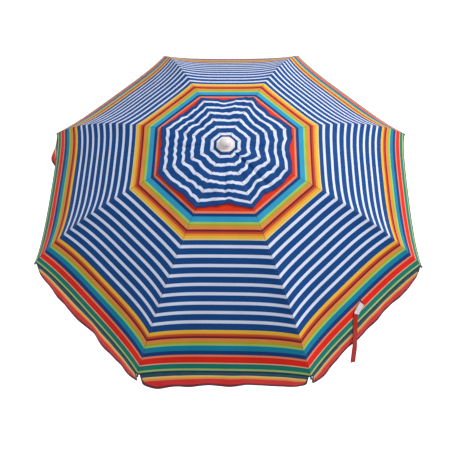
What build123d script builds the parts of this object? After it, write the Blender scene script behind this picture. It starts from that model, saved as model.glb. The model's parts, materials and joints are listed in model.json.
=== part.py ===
from build123d import *
import os
from math import asin, atan2, cos, degrees, hypot, radians, sin, sqrt

# Beach umbrella: eight hinged ribs under an eight-panel domed canopy, on a tilting two-part pole.
# Millimetres, +Z up the pole, origin on the pole's axis at the lower end of its wall.
# One flat side of the octagon faces -Y. Rib n stands at FIRST_RIB + (n - 1) * STEP degrees from +X.

# ---- driving dimensions ----
RIBS = 8
STEP = 360 / RIBS
HALF = STEP / 2
FIRST_RIB = HALF

CROWN_Z = 2080.0            # height of the rib pivots
TILT_BELOW_CROWN = 940.0    # the tilt joint lies below the closed canopy
RUNNER_BELOW_CROWN = 200.0  # the stretcher pivots, with the canopy open
LOWER_POLE_LENGTH = 760.0
MID_POLE_OVERLAP = 330.0    # length of the sliding pole inside the lower pole

DOME_RADIUS = 1135.0        # of the cloth along a rib
CLOTH_ARC = 914.4           # from the axis to the rim over the dome
VENT_ARC = 225.0            # from the axis to the inner hem of the main panels
CLOTH = 1.2
RIM_SCALLOP = 14.0          # the rim is drawn in this far between two ribs
PANEL_TURN = 2.86           # degrees: each half of a panel is turned in towards its middle
VALANCE_DROP = 130.0
VALANCE_FLARE = 7.0         # degrees
VALANCE_CORNER = 48.0
VALANCE_NOTCH = 9.0         # clear of the rib tip on each side
CLOTH_GAP = 0.2             # each side of a line where two cloth pieces meet

CAP_RADIUS = 260.0          # vent cap, at its corners
CAP_LIFT = 10.0
CAP_SCALLOP = 4.0

POLE_R = 12.5
POLE_WALL = 1.2
LOWER_POLE_R = 16.0
LOWER_POLE_WALL = 1.5
SLIDE_FIT = 0.08
PIN_FIT = 0.05
EDGE = 2.0                  # usual rounding of a moulded edge
FINE_EDGE = 1.0

RIB_WIDTH = 4.0
RIB_DEPTH = 4.4
RIB_BELOW_CLOTH = 4.5       # from the cloth's middle to the rib's middle
EYE_R = 3.0
PIN_R = 1.6
PIN_LENGTH = 9.0

CROWN_R = 26.0
CROWN_PIVOT_R = 18.5
CROWN_TOP = 13.4
CROWN_BOTTOM = 14.0
CROWN_SLOT_TOP = 4.0
CROWN_SLOT = 4.8
CROWN_SLOT_ROOT = 14.2

CLIP_ARC = 360.0            # from the axis to the stretcher's clip, over the dome
CLIP_LENGTH = 24.0
CLIP_WALL = 0.8
LUG_DROP = 9.0              # from the rib's middle to the stretcher's pivot
LUG_R = 4.0
RIVET_R = 2.2
RIVET_STUB = 1.1

STRETCHER_OFFSET = 4.9      # its middle, beside the rib
STRETCHER_WIDTH = 3.0
STRETCHER_DEPTH = 6.0
RIVET_HEAD_R = 3.2
RIVET_HEAD = 1.0

RUNNER_PIVOT_R = 20.0
RUNNER_FLANGE_R = 30.0
RUNNER_FLANGE_HALF = 8.0
RUNNER_SLEEVE_R = 16.5
RUNNER_SLEEVE_LENGTH = 52.0
RUNNER_GRIP_R = 22.0
RUNNER_GRIP = 5.0
RUNNER_SLOT = 3.6
RUNNER_SLOT_ROOT = 15.5
RUNNER_SLOT_FLOOR = 4.0
RUNNER_BUTTON_DROP = 30.0
BOSS_R = 8.0
BOSS_END = 30.0

BUTTON_R = 4.02
BUTTON_FIT = 0.08
BUTTON_HEAD_IN = 25.0
BUTTON_HEAD_OUT = 34.0
BUTTON_STEM_R = 1.9
BUTTON_STEM_IN = 17.0
BUTTON_BORE_FLOOR = 18.0

TILT_BODY_R = 16.0
TONGUE_WIDTH = 12.0
TONGUE_R = 13.5
EAR_GAP = 0.3
EAR_WIDTH = 8.0
EAR_R = 14.0
TILT_PIN_R = 4.0
TILT_HEAD_R = 6.5
TILT_HEAD_THICK = 2.5
TILT_BASE_TOP = 16.0        # below the pin
TILT_BASE_BOTTOM = 45.0
TILT_BASE_SHOULDER = 20.0
TILT_HEAD_BOTTOM = 18.0     # above the pin
TILT_HEAD_SHOULDER = 46.0
TILT_HEAD_TOP = 86.0
TILT_BUTTON_Z = 32.0
TILT_BUTTON_R = 5.0
TILT_BUTTON_IN = 10.0
TILT_BUTTON_OUT = 21.0
TILT_BORE_FLOOR = 2.0

COLLAR_R = 21.0
COLLAR_BELOW_TOP = 28.0
COLLAR_ABOVE_TOP = 24.0
COLLAR_BOSS_R = 9.0
COLLAR_BOSS_END = 30.0
COLLAR_SEAT = 0.4           # the lower pole is turned down by this under the collar
COLLAR_BOSS_TOP = 1.0       # the screw's boss stops this far below the collar's top
KNOB_SCREW_R = 3.0
KNOB_SCREW_END = 13.6
KNOB_START = 31.0
KNOB_THICK = 14.0
KNOB_R = 15.0
KNOB_LOBE_R = 5.0
KNOB_LOBES = 5
SWAGE_LENGTH = 22.0
SWAGE_CHAMFER = 0.8
KNOB_EDGE = 1.2

SPIKE_LENGTH = 95.0
SPIKE_PLUG = 50.0
SPIKE_POINT_R = 1.5

FINIAL_R = 36.0
FINIAL_FLANGE = 5.0
FINIAL_CORNER = 12.0
FINIAL_SHOULDER_R = 26.0
FINIAL_SHOULDER = 7.0
FINIAL_KNOB_R = 20.0
FINIAL_KNOB_RISE = 14.0
STUD_R = 5.0
STUD_CLEAR = 1.0            # between the stud and the vent cap's cloth
STUD_LENGTH = 22.0

TIP_R = 3.4
TIP_LENGTH = 24.0
TIP_BALL_R = 4.5
TIP_BALL_ARC = 8.0          # past the cloth's corner

STRAP_PANEL = 7
STRAP_WIDTH = 20.0
STRAP_THICK = 1.6
STRAP_LIFT = 3.0
STRAP_ARC = 854.0           # from the axis to the slot that the strap comes out of
STRAP_SLOT_SIDE = 14.0
STRAP_BEND_ARC = 868.0      # where it turns down to the rim
STRAP_BEND_SIDE = -30.0
STRAP_RIM_SIDE = -63.0
STRAP_HANG = 280.0
STRAP_LEAN = 10.4           # degrees outwards
STRAP_SWAY = 2.4            # degrees sideways
STRAP_OVER_RIM = 6.0

SPRING_TURNS = 5
SPRING_END_GAP = 0.1
RUNNER_COIL_R = 3.0
RUNNER_WIRE_R = 0.45
TILT_COIL_R = 3.6
TILT_WIRE_R = 0.5

# ---- derived ----
COS_HALF = cos(radians(HALF))
SIN_HALF = sin(radians(HALF))
COS_45 = cos(radians(45))
COS_TURN = cos(radians(PANEL_TURN))
SIN_TURN = sin(radians(PANEL_TURN))
COS_TURNED = cos(radians(HALF + PANEL_TURN))
RIB_RADIUS = DOME_RADIUS - RIB_BELOW_CLOTH
DOME_CENTRE_Z = CROWN_Z - sqrt(RIB_RADIUS**2 - CROWN_PIVOT_R**2)
TILT_Z = CROWN_Z - TILT_BELOW_CROWN
RUNNER_Z = CROWN_Z - RUNNER_BELOW_CROWN
MID_POLE_BOTTOM = LOWER_POLE_LENGTH - MID_POLE_OVERLAP
COLLAR_TOP = LOWER_POLE_LENGTH + COLLAR_ABOVE_TOP
KNOB_Z = COLLAR_TOP - COLLAR_BOSS_R - COLLAR_BOSS_TOP
BIG = 4 * DOME_RADIUS


def arc_radius(arc, radius=DOME_RADIUS):
    """Distance from the axis of the point this far over the dome, on a rib's line."""
    return radius * sin(arc / DOME_RADIUS)


def arc_height(arc, radius=DOME_RADIUS):
    return DOME_CENTRE_Z + radius * cos(arc / DOME_RADIUS)


def export(part, node):
    part.label = node
    export_step(part, f"parts/{node}.step")


def rib_angle(n):
    return FIRST_RIB + (n - 1) * STEP


def panel_angle(n):
    """Middle of the panel between rib n and the next."""
    return rib_angle(n) + HALF


def cylinder_x(radius, x0, x1, z, y=0.0):
    return Pos((x0 + x1) / 2, y, z) * Rot(0, 90, 0) * Cylinder(radius, x1 - x0)


def cylinder_y(radius, y0, y1, z, x=0.0):
    return Pos(x, (y0 + y1) / 2, z) * Rot(90, 0, 0) * Cylinder(radius, y1 - y0)


def cylinder_z(radius, z0, z1):
    return Pos(0, 0, (z0 + z1) / 2) * Cylinder(radius, z1 - z0)


def tube_z(outer, inner, z0, z1):
    return cylinder_z(outer, z0, z1) - cylinder_z(inner, z0 - 1, z1 + 1)


def box_between(low, high):
    size = [b - a for a, b in zip(low, high)]
    middle = [(a + b) / 2 for a, b in zip(low, high)]
    return Pos(*middle) * Box(*size)


def coil(radius, wire, length):
    """A compression spring along +Z from the origin."""
    path = Helix(pitch=(length - 2 * wire) / SPRING_TURNS, height=length - 2 * wire, radius=radius)
    section = Plane(origin=path @ 0, z_dir=path % 0) * Circle(wire)
    return Pos(0, 0, wire) * sweep(section, path=path)


# ---- cloth, drawn in the frame of one panel: +X through the panel's middle ----
def under_cloth(offset):
    """Everything under a surface this far outside the middle of the cloth of the half with +Y.
    Each level section of that surface is a straight line from the rib's line to the panel's middle."""
    radius = DOME_RADIUS + offset
    ellipse = Plane.XZ * Ellipse(radius * COS_TURNED, radius)
    solid = extrude(ellipse, amount=DOME_RADIUS / 2, both=True)
    return Pos(0, 0, DOME_CENTRE_Z) * Rot(0, 0, -PANEL_TURN) * solid


def scallop_point(x_corner, y_corner, sag, y):
    """Where the rim lies at this distance from the panel's middle."""
    radius = (y_corner**2 + sag**2) / (2 * sag)
    return (x_corner - sag + radius - sqrt(radius**2 - y**2), y)


def half_plan(r_in, r_out, sag, band=None):
    """Plan of the half of a panel with +Y, or of a narrow band along its rim."""
    x_out = r_out * COS_HALF
    y_out = r_out * SIN_HALF
    middle = scallop_point(x_out, y_out, sag, CLOTH_GAP)
    between = scallop_point(x_out, y_out, sag, y_out / 2)
    corner = scallop_point(x_out, y_out, sag, y_out - CLOTH_GAP / COS_HALF)
    if band:
        inner = [(p[0] - band, p[1]) for p in (corner, between, middle)]
        return make_face(
            Line(middle, inner[2]) + ThreePointArc(*inner) + Line(inner[0], corner)
            + ThreePointArc(corner, between, middle)
        )
    x_in = r_in * COS_HALF
    near_rib = (x_in, r_in * SIN_HALF - CLOTH_GAP / COS_HALF)
    near_middle = (x_in, CLOTH_GAP)
    return make_face(
        Line(near_middle, middle) + ThreePointArc(middle, between, corner)
        + Line(corner, near_rib) + Line(near_rib, near_middle)
    )


def half_panel():
    rim_r = arc_radius(CLOTH_ARC)
    rim_z = arc_height(CLOTH_ARC)
    plan = half_plan(arc_radius(VENT_ARC), rim_r, RIM_SCALLOP)
    column = Pos(0, 0, rim_z - BIG / 8) * extrude(plan, amount=BIG / 4)
    shell = column & (under_cloth(CLOTH / 2) - under_cloth(-CLOTH / 2))
    band = half_plan(0, rim_r, RIM_SCALLOP, band=CLOTH)
    flare = (sin(radians(VALANCE_FLARE)), 0, -cos(radians(VALANCE_FLARE)))
    upper = Pos(0, 0, rim_z) * extrude(band, amount=RIM_SCALLOP * 2, dir=(0, 0, 1))
    lower = Pos(0, 0, rim_z) * extrude(band, amount=VALANCE_DROP, dir=flare)
    side = rim_r * SIN_HALF - VALANCE_NOTCH
    bottom = rim_z - VALANCE_DROP
    outline = Plane.YZ * make_face(
        Line((-BIG, bottom), (side - VALANCE_CORNER, bottom))
        + ThreePointArc(
            (side - VALANCE_CORNER, bottom),
            (side - VALANCE_CORNER * (1 - COS_45), bottom + VALANCE_CORNER * (1 - COS_45)),
            (side, bottom + VALANCE_CORNER),
        )
        + Line((side, bottom + VALANCE_CORNER), (side, rim_z + VALANCE_DROP))
        + Line((side, rim_z + VALANCE_DROP), (-BIG, rim_z + VALANCE_DROP))
        + Line((-BIG, rim_z + VALANCE_DROP), (-BIG, bottom))
    )
    flap = (upper + lower) & extrude(outline, amount=BIG / 4) & under_cloth(CLOTH / 2)
    return shell + flap


def half_plan_to_axis(r_out, sag):
    x_out = r_out * COS_HALF
    y_out = r_out * SIN_HALF
    middle = scallop_point(x_out, y_out, sag, 0)
    between = scallop_point(x_out, y_out, sag, y_out / 2)
    corner = (x_out, y_out)
    return make_face(
        Line((0, 0), middle) + ThreePointArc(middle, between, corner) + Line(corner, (0, 0))
    )


def vent_cap():
    plan = half_plan_to_axis(CAP_RADIUS, CAP_SCALLOP)
    column = Pos(0, 0, CROWN_Z - CAP_RADIUS) * extrude(plan, amount=2 * CAP_RADIUS)
    shell = column & (Pos(0, 0, CAP_LIFT) * (under_cloth(CLOTH / 2) - under_cloth(-CLOTH / 2)))
    whole = shell + mirror(shell, about=Plane.XZ)
    cap = Part() + [Rot(0, 0, panel_angle(n)) * whole for n in range(1, RIBS + 1)]
    return cap - cylinder_z(STUD_R + STUD_CLEAR, CROWN_Z, CROWN_Z + CAP_RADIUS)


# ---- ribs, drawn in the XZ plane with the rib outwards along +X ----
def rib_point(arc, drop=0.0):
    """A point this far over the dome, and this far under the rib's middle line."""
    radius = RIB_RADIUS - drop
    return (radius * sin(arc / DOME_RADIUS), DOME_CENTRE_Z + radius * cos(arc / DOME_RADIUS))


def rib_strip(arc0, arc1, top, bottom, width):
    """A bar along the rib's line from arc0 to arc1, between two depths under its middle."""
    arc_m = (arc0 + arc1) / 2
    face = Plane.XZ * make_face(
        ThreePointArc(rib_point(arc0, top), rib_point(arc_m, top), rib_point(arc1, top))
        + Line(rib_point(arc1, top), rib_point(arc1, bottom))
        + ThreePointArc(rib_point(arc1, bottom), rib_point(arc_m, bottom), rib_point(arc0, bottom))
        + Line(rib_point(arc0, bottom), rib_point(arc0, top))
    )
    return extrude(face, amount=width / 2, both=True)


PIVOT_ARC = DOME_RADIUS * asin(CROWN_PIVOT_R / RIB_RADIUS)
CLIP_PIVOT = rib_point(CLIP_ARC, LUG_DROP)


def rib():
    bar = rib_strip(PIVOT_ARC, CLOTH_ARC + TIP_BALL_ARC / 2, -RIB_DEPTH / 2, RIB_DEPTH / 2, RIB_WIDTH)
    eye = cylinder_y(EYE_R, -RIB_WIDTH / 2, RIB_WIDTH / 2, CROWN_Z, CROWN_PIVOT_R)
    hole = cylinder_y(PIN_R + PIN_FIT, -RIB_WIDTH, RIB_WIDTH, CROWN_Z, CROWN_PIVOT_R)
    return bar + eye - hole


def rib_clip(bar):
    """A folded sheet clip around the rib, with the lug that the stretcher hangs on."""
    half = CLIP_LENGTH / 2
    depth = RIB_DEPTH / 2 + CLIP_WALL
    wrap = rib_strip(CLIP_ARC - half, CLIP_ARC + half, -depth, depth, RIB_WIDTH + 2 * CLIP_WALL)
    x, z = CLIP_PIVOT
    lug = cylinder_y(LUG_R, -RIB_WIDTH / 2, RIB_WIDTH / 2, z, x)
    web = rib_strip(CLIP_ARC - LUG_R, CLIP_ARC + LUG_R, RIB_DEPTH / 2, LUG_DROP, RIB_WIDTH)
    stub = cylinder_y(RIVET_R, -RIB_WIDTH / 2 - RIVET_STUB, RIB_WIDTH / 2 + RIVET_STUB, z, x)
    return wrap + web + lug + stub - bar


def rib_tip(bar):
    sleeve_start = CLOTH_ARC + TIP_BALL_ARC - TIP_LENGTH
    (x0, z0), (x1, z1) = rib_point(sleeve_start), rib_point(CLOTH_ARC + TIP_BALL_ARC)
    along = Plane(origin=(x0, 0, z0), z_dir=(x1 - x0, 0, z1 - z0))
    length = hypot(x1 - x0, z1 - z0)
    sleeve = along * Pos(0, 0, length / 2) * Cylinder(TIP_R, length)
    return sleeve + Pos(x1, 0, z1) * Sphere(TIP_BALL_R) - bar


def stretcher():
    """A flat bar beside the rib's plane, from the runner to the clip."""
    x1, z1 = CLIP_PIVOT
    length = hypot(x1 - RUNNER_PIVOT_R, z1 - RUNNER_Z)
    rise = degrees(atan2(z1 - RUNNER_Z, x1 - RUNNER_PIVOT_R))
    half = STRETCHER_WIDTH / 2
    bar = Pos(length / 2, 0, 0) * Box(length, STRETCHER_WIDTH, STRETCHER_DEPTH)
    ends = [cylinder_y(STRETCHER_DEPTH / 2, -half, half, 0, x) for x in (0, length)]
    head = cylinder_y(RIVET_HEAD_R, half, half + RIVET_HEAD, 0, length)
    hole = cylinder_y(PIN_R + PIN_FIT, -STRETCHER_WIDTH, STRETCHER_WIDTH, 0, 0)
    flat = bar + ends + head - hole
    return Pos(RUNNER_PIVOT_R, STRETCHER_OFFSET, RUNNER_Z) * Rot(0, -rise, 0) * flat


def rib_pin():
    return cylinder_y(PIN_R, -PIN_LENGTH / 2, PIN_LENGTH / 2, CROWN_Z, CROWN_PIVOT_R)


def stretcher_pin():
    start = STRETCHER_OFFSET - PIN_LENGTH / 2
    return cylinder_y(PIN_R, start, start + PIN_LENGTH, RUNNER_Z, RUNNER_PIVOT_R)


def all_round(part):
    """One copy for each rib, as separate solids."""
    return [Rot(0, 0, rib_angle(n)) * part for n in range(1, RIBS + 1)]


# ---- hubs ----
def crown():
    top = CROWN_Z + CROWN_TOP
    hub = cylinder_z(CROWN_R, CROWN_Z - CROWN_BOTTOM, top)
    hub = chamfer(hub.edges().group_by(Axis.Z)[-1], EDGE)
    hub -= cylinder_z(POLE_R, CROWN_Z - CROWN_BOTTOM - 1, top - CROWN_SLOT_TOP)
    hub -= cylinder_z(STUD_R, CROWN_Z, top + 1)
    slot = box_between(
        (CROWN_SLOT_ROOT, -CROWN_SLOT / 2, CROWN_Z - CROWN_BOTTOM - 1),
        (CROWN_R + 2, CROWN_SLOT / 2, CROWN_Z + CROWN_SLOT_TOP),
    )
    return hub - all_round(slot) - all_round(rib_pin())


def runner():
    top = RUNNER_Z + RUNNER_FLANGE_HALF
    flange = cylinder_z(RUNNER_FLANGE_R, RUNNER_Z - RUNNER_FLANGE_HALF, top)
    flange = chamfer(flange.edges().group_by(Axis.Z)[0], EDGE)
    foot = RUNNER_Z - RUNNER_SLEEVE_LENGTH
    sleeve = cylinder_z(RUNNER_SLEEVE_R, foot, top)
    grip = cylinder_z(RUNNER_GRIP_R, foot - RUNNER_GRIP, foot)
    grip = fillet(grip.edges(), EDGE)
    button_z = RUNNER_Z - RUNNER_BUTTON_DROP
    boss = cylinder_x(BOSS_R, POLE_R + 2, BOSS_END, button_z)
    hub = flange + sleeve + grip + boss
    hub -= cylinder_z(POLE_R + SLIDE_FIT, foot - RUNNER_GRIP - 1, top + 1)
    hub -= cylinder_x(BUTTON_R + BUTTON_FIT, BUTTON_BORE_FLOOR, BOSS_END + 1, button_z)
    hub -= cylinder_x(BUTTON_STEM_R + BUTTON_FIT, POLE_R, BUTTON_BORE_FLOOR + 1, button_z)
    slot = box_between(
        (RUNNER_SLOT_ROOT, STRETCHER_OFFSET - RUNNER_SLOT / 2, RUNNER_Z - RUNNER_SLOT_FLOOR),
        (RUNNER_FLANGE_R + 2, STRETCHER_OFFSET + RUNNER_SLOT / 2, top + 1),
    )
    return hub - all_round(slot) - all_round(stretcher_pin())


def runner_button():
    z = RUNNER_Z - RUNNER_BUTTON_DROP
    head = cylinder_x(BUTTON_R, BUTTON_HEAD_IN, BUTTON_HEAD_OUT, z)
    head = fillet(head.edges().group_by(Axis.X)[-1], FINE_EDGE)
    return head + cylinder_x(BUTTON_STEM_R, BUTTON_STEM_IN, BUTTON_HEAD_IN, z)


def runner_button_spring():
    length = BUTTON_HEAD_IN - BUTTON_BORE_FLOOR - 2 * SPRING_END_GAP
    spring = coil(RUNNER_COIL_R, RUNNER_WIRE_R, length)
    z = RUNNER_Z - RUNNER_BUTTON_DROP
    return Pos(BUTTON_BORE_FLOOR + SPRING_END_GAP, 0, z) * Rot(0, 90, 0) * spring


# ---- tilt joint: it turns about +X ----
def tilt_base():
    top = TILT_Z - TILT_BASE_TOP
    body = cylinder_z(TILT_BODY_R, TILT_Z - TILT_BASE_BOTTOM, top)
    body = chamfer(body.edges().group_by(Axis.Z)[-1], EDGE)
    body -= cylinder_z(POLE_R, TILT_Z - TILT_BASE_BOTTOM - 1, TILT_Z - TILT_BASE_SHOULDER)
    half = TONGUE_WIDTH / 2
    tongue = box_between((-half, -TONGUE_R, top - EDGE), (half, TONGUE_R, TILT_Z))
    tongue += cylinder_x(TONGUE_R, -half, half, TILT_Z)
    return body + tongue - cylinder_x(TILT_PIN_R + PIN_FIT, -half - 1, half + 1, TILT_Z)


def tilt_head():
    bottom = TILT_Z + TILT_HEAD_BOTTOM
    body = cylinder_z(TILT_BODY_R, bottom, TILT_Z + TILT_HEAD_TOP)
    body = chamfer(body.edges().group_by(Axis.Z)[-1], EDGE)
    body -= cylinder_z(POLE_R, TILT_Z + TILT_HEAD_SHOULDER, TILT_Z + TILT_HEAD_TOP + 1)
    inner = TONGUE_WIDTH / 2 + EAR_GAP
    outer = inner + EAR_WIDTH
    ear = box_between((inner, -EAR_R, TILT_Z), (outer, EAR_R, bottom))
    ear += cylinder_x(EAR_R, inner, outer, TILT_Z)
    ear &= cylinder_z(TILT_BODY_R, TILT_Z - TILT_BASE_BOTTOM, TILT_Z + TILT_BASE_BOTTOM)
    head = body + ear + mirror(ear, about=Plane.YZ)
    head -= cylinder_x(TILT_PIN_R, -outer - 1, outer + 1, TILT_Z)
    z = TILT_Z + TILT_BUTTON_Z
    return head - cylinder_y(TILT_BUTTON_R + BUTTON_FIT, TILT_BORE_FLOOR, TILT_BODY_R + 1, z)


def tilt_pin():
    outer = TONGUE_WIDTH / 2 + EAR_GAP + EAR_WIDTH
    pin = cylinder_x(TILT_PIN_R, -outer, outer, TILT_Z)
    head = cylinder_x(TILT_HEAD_R, outer, outer + TILT_HEAD_THICK, TILT_Z)
    head = fillet(head.edges().group_by(Axis.X)[-1], FINE_EDGE)
    return pin + head + mirror(head, about=Plane.YZ)


def tilt_button():
    z = TILT_Z + TILT_BUTTON_Z
    button = cylinder_y(TILT_BUTTON_R, TILT_BUTTON_IN, TILT_BUTTON_OUT, z)
    return fillet(button.edges().group_by(Axis.Y)[-1], FINE_EDGE)


def tilt_button_spring():
    length = TILT_BUTTON_IN - TILT_BORE_FLOOR - 2 * SPRING_END_GAP
    spring = coil(TILT_COIL_R, TILT_WIRE_R, length)
    z = TILT_Z + TILT_BUTTON_Z
    return Pos(0, TILT_BORE_FLOOR + SPRING_END_GAP, z) * Rot(-90, 0, 0) * spring


# ---- poles ----
def top_pole():
    top = CROWN_Z + CROWN_TOP - CROWN_SLOT_TOP
    return tube_z(POLE_R, POLE_R - POLE_WALL, TILT_Z + TILT_HEAD_SHOULDER, top)


def mid_pole():
    """The sliding tube. Its lower end is swaged out to run inside the lower pole."""
    tube = tube_z(POLE_R, POLE_R - POLE_WALL, MID_POLE_BOTTOM, TILT_Z - TILT_BASE_SHOULDER)
    swage_r = LOWER_POLE_R - LOWER_POLE_WALL - SLIDE_FIT
    swage = tube_z(swage_r, POLE_R - POLE_WALL, MID_POLE_BOTTOM, MID_POLE_BOTTOM + SWAGE_LENGTH)
    rims = swage.edges().filter_by(GeomType.CIRCLE).sort_by(SortBy.RADIUS)[-2:]
    return tube + chamfer(rims, SWAGE_CHAMFER)


def lower_pole():
    """Its upper end is turned down a little, so that the collar sits against a step."""
    inner = LOWER_POLE_R - LOWER_POLE_WALL
    step_z = LOWER_POLE_LENGTH - COLLAR_BELOW_TOP
    wall = tube_z(LOWER_POLE_R, inner, 0, step_z)
    return wall + tube_z(LOWER_POLE_R - COLLAR_SEAT, inner, step_z, LOWER_POLE_LENGTH)


def height_collar():
    low = LOWER_POLE_LENGTH - COLLAR_BELOW_TOP
    body = cylinder_z(COLLAR_R, low, COLLAR_TOP)
    body = fillet(body.edges(), EDGE)
    body += cylinder_x(COLLAR_BOSS_R, POLE_R + 2, COLLAR_BOSS_END, KNOB_Z)
    body -= cylinder_z(LOWER_POLE_R - COLLAR_SEAT, low - 1, LOWER_POLE_LENGTH)
    body -= cylinder_z(POLE_R + SLIDE_FIT, low, COLLAR_TOP + 1)
    return body - cylinder_x(KNOB_SCREW_R + BUTTON_FIT, 0, COLLAR_BOSS_END + 1, KNOB_Z)


def height_knob():
    lobe = Pos(KNOB_R - KNOB_LOBE_R, 0) * Circle(KNOB_LOBE_R)
    plan = Circle(KNOB_R - KNOB_LOBE_R / 2)
    plan += [Rot(0, 0, k * 360 / KNOB_LOBES) * lobe for k in range(KNOB_LOBES)]
    grip = extrude(fillet(plan.vertices(), EDGE), amount=KNOB_THICK)
    grip = fillet(grip.edges().group_by(Axis.Z)[-1], KNOB_EDGE)
    turned = Pos(KNOB_START, 0, KNOB_Z) * Rot(0, 90, 0) * grip
    return turned + cylinder_x(KNOB_SCREW_R, KNOB_SCREW_END, KNOB_START + 1, KNOB_Z)


def ground_spike():
    plug = cylinder_z(LOWER_POLE_R - LOWER_POLE_WALL, 0, SPIKE_PLUG)
    cone = Pos(0, 0, -SPIKE_LENGTH / 2) * Cone(SPIKE_POINT_R, LOWER_POLE_R, SPIKE_LENGTH)
    return plug + cone


def finial():
    """A moulded cap with a rounded octagonal flange and a domed knob. Its stud enters the crown."""
    base = DOME_CENTRE_Z + DOME_RADIUS + CAP_LIFT + CLOTH
    plate = RegularPolygon(FINIAL_R, RIBS, rotation=HALF)
    plate = fillet(plate.vertices(), FINIAL_CORNER)
    flange = Pos(0, 0, base) * extrude(plate, amount=FINIAL_FLANGE)
    flange = fillet(flange.edges().group_by(Axis.Z)[-1], FINIAL_FLANGE / 2)
    neck_z = base + FINIAL_FLANGE
    knob_z = neck_z + FINIAL_SHOULDER
    cone = Cone(FINIAL_SHOULDER_R, FINIAL_KNOB_R, FINIAL_SHOULDER)
    shoulder = Pos(0, 0, (neck_z + knob_z) / 2) * cone
    knob = Pos(0, 0, knob_z) * scale(Sphere(FINIAL_KNOB_R), (1, 1, FINIAL_KNOB_RISE / FINIAL_KNOB_R))
    knob &= cylinder_z(FINIAL_R, knob_z, knob_z + FINIAL_KNOB_RISE)
    stud = cylinder_z(STUD_R, base - STUD_LENGTH + CROWN_SLOT_TOP, base + 1)
    return flange + shoulder + knob + stud


# ---- tie strap ----
def strap_frame(arc, side, lift):
    """A point over the strap's panel, in that panel's own frame."""
    radius = DOME_RADIUS + lift
    inside = radius * sin(arc / DOME_RADIUS) * COS_TURNED
    x = (inside + abs(side) * SIN_TURN) / COS_TURN
    return Vector(x, side, DOME_CENTRE_Z + radius * cos(arc / DOME_RADIUS))


def strip(start, end, outward):
    """A flat run of webbing between two points, with its face towards outward."""
    along = end - start
    square = outward - along * (outward.dot(along) / along.dot(along))
    plane = Plane(origin=start, x_dir=along, z_dir=square)
    return plane * Pos(along.length / 2, 0, 0) * Box(along.length, STRAP_WIDTH, STRAP_THICK)


def tie_strap():
    """It comes out of its slot along the rim, turns down over the rim and hangs."""
    slot = strap_frame(STRAP_ARC, STRAP_SLOT_SIDE, STRAP_LIFT)
    bend = strap_frame(STRAP_BEND_ARC, STRAP_BEND_SIDE, STRAP_LIFT)
    rim_r = arc_radius(CLOTH_ARC)
    rim_x = scallop_point(rim_r * COS_HALF, rim_r * SIN_HALF, RIM_SCALLOP, STRAP_RIM_SIDE)[0]
    rim_reach = (rim_x * COS_TURN - abs(STRAP_RIM_SIDE) * SIN_TURN) / COS_TURNED
    rim_arc = DOME_RADIUS * asin(rim_reach / DOME_RADIUS)
    over = strap_frame(rim_arc + STRAP_OVER_RIM, STRAP_RIM_SIDE, STRAP_LIFT)
    lean = Vector(sin(radians(STRAP_LEAN)), -sin(radians(STRAP_SWAY)), -cos(radians(STRAP_LEAN)))
    end = over + lean * STRAP_HANG
    slope = STRAP_BEND_ARC / DOME_RADIUS
    up = Vector(sin(slope), 0, COS_HALF * cos(slope))
    out = Vector(1, 0, 0)
    strap = strip(slot, bend, up) + strip(bend, over, up) + strip(over, end, out)
    corner = Cylinder(STRAP_WIDTH / 2, STRAP_THICK - CLOTH_GAP)
    strap += Plane(origin=bend, z_dir=up) * corner
    return Rot(0, 0, panel_angle(STRAP_PANEL)) * strap


os.makedirs("parts", exist_ok=True)

for make in (
    lower_pole, ground_spike, height_collar, height_knob, mid_pole, tilt_base, tilt_head, tilt_pin,
    tilt_button, tilt_button_spring, top_pole, crown, finial, vent_cap, runner, runner_button,
    runner_button_spring, tie_strap,
):
    export(make(), make.__name__)
export(Compound(all_round(rib_pin())), "rib_pins")
export(Compound(all_round(stretcher_pin())), "stretcher_pins")

bar = rib()
clip = rib_clip(bar)
tip = rib_tip(bar)
link = stretcher()
right = half_panel()
left = mirror(right, about=Plane.XZ)
for n in range(1, RIBS + 1):
    turn = Rot(0, 0, rib_angle(n))
    export(Compound([turn * bar, turn * clip]), f"rib_{n}")
    export(turn * tip, f"rib_tip_{n}")
    export(turn * link, f"stretcher_{n}")
    turn = Rot(0, 0, panel_angle(n))
    export(turn * left, f"panel_{n}_left")
    export(turn * right, f"panel_{n}_right")
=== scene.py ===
"""Beach umbrella with a striped, domed canopy, a loose vent cap and a hanging valance."""

import json
import math

import bpy
import numpy as np
from mathutils import Matrix, Vector, noise


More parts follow.
